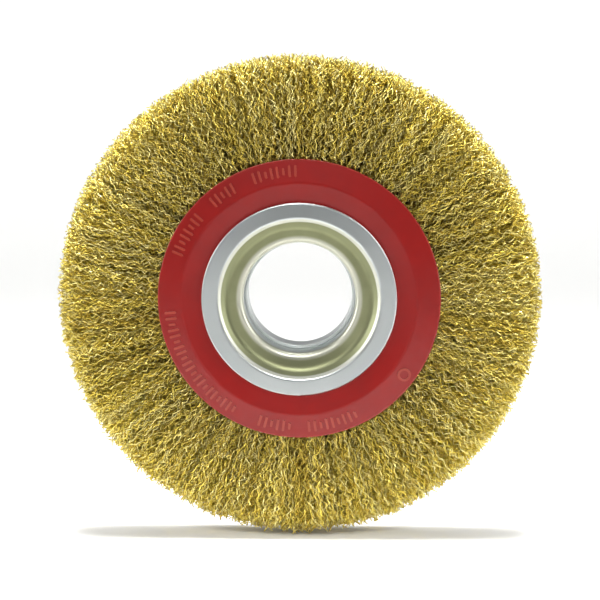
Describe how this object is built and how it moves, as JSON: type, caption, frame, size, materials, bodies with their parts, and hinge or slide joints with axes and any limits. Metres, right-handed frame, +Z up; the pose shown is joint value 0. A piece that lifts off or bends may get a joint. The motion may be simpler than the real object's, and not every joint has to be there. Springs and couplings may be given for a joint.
{
  "type": "wire wheel brush",
  "caption": "Crimped-wire wheel brush for a bench grinder: brass-coated steel wire held between two dished red face plates on a zinc-plated pressed hub with a plain arbor bore.",
  "frame": {"origin": "centre of the wheel, on its axis, midway between the two clamping faces", "axes": "+Y is the wheel's axis and points out of the rear face, so the front face looks along -Y; +Z is up"},
  "size_m": [0.15, 0.0206, 0.15],
  "materials": {
    "zinc_plate": "zinc-plated pressed steel, turned bright on the flat ring, olive passivated in the recess",
    "red_lacquer": "semi-gloss red stoving lacquer on pressed steel",
    "bare_steel": "bare drawn steel rod",
    "brassed_wire": "brass-coated crimped steel wire, 0.3 mm"
  },
  "bodies": {
    "root": {"front_hub_flange": "zinc_plate", "rear_hub_flange": "zinc_plate", "front_face_plate": "red_lacquer", "rear_face_plate": "red_lacquer", "keeper_ring": "bare_steel", "wire_bunch_01": "brassed_wire", "wire_bunch_02": "brassed_wire", "wire_bunch_03": "brassed_wire", "wire_bunch_04": "brassed_wire", "wire_bunch_05": "brassed_wire", "wire_bunch_06": "brassed_wire", "wire_bunch_07": "brassed_wire", "wire_bunch_08": "brassed_wire", "wire_bunch_09": "brassed_wire", "wire_bunch_10": "brassed_wire", "wire_bunch_11": "brassed_wire", "wire_bunch_12": "brassed_wire", "wire_bunch_13": "brassed_wire", "wire_bunch_14": "brassed_wire", "wire_bunch_15": "brassed_wire", "wire_bunch_16": "brassed_wire", "wire_bunch_17": "brassed_wire", "wire_bunch_18": "brassed_wire", "wire_bunch_19": "brassed_wire", "wire_bunch_20": "brassed_wire", "wire_bunch_21": "brassed_wire", "wire_bunch_22": "brassed_wire", "wire_bunch_23": "brassed_wire", "wire_bunch_24": "brassed_wire"}
  },
  "joints": []
}
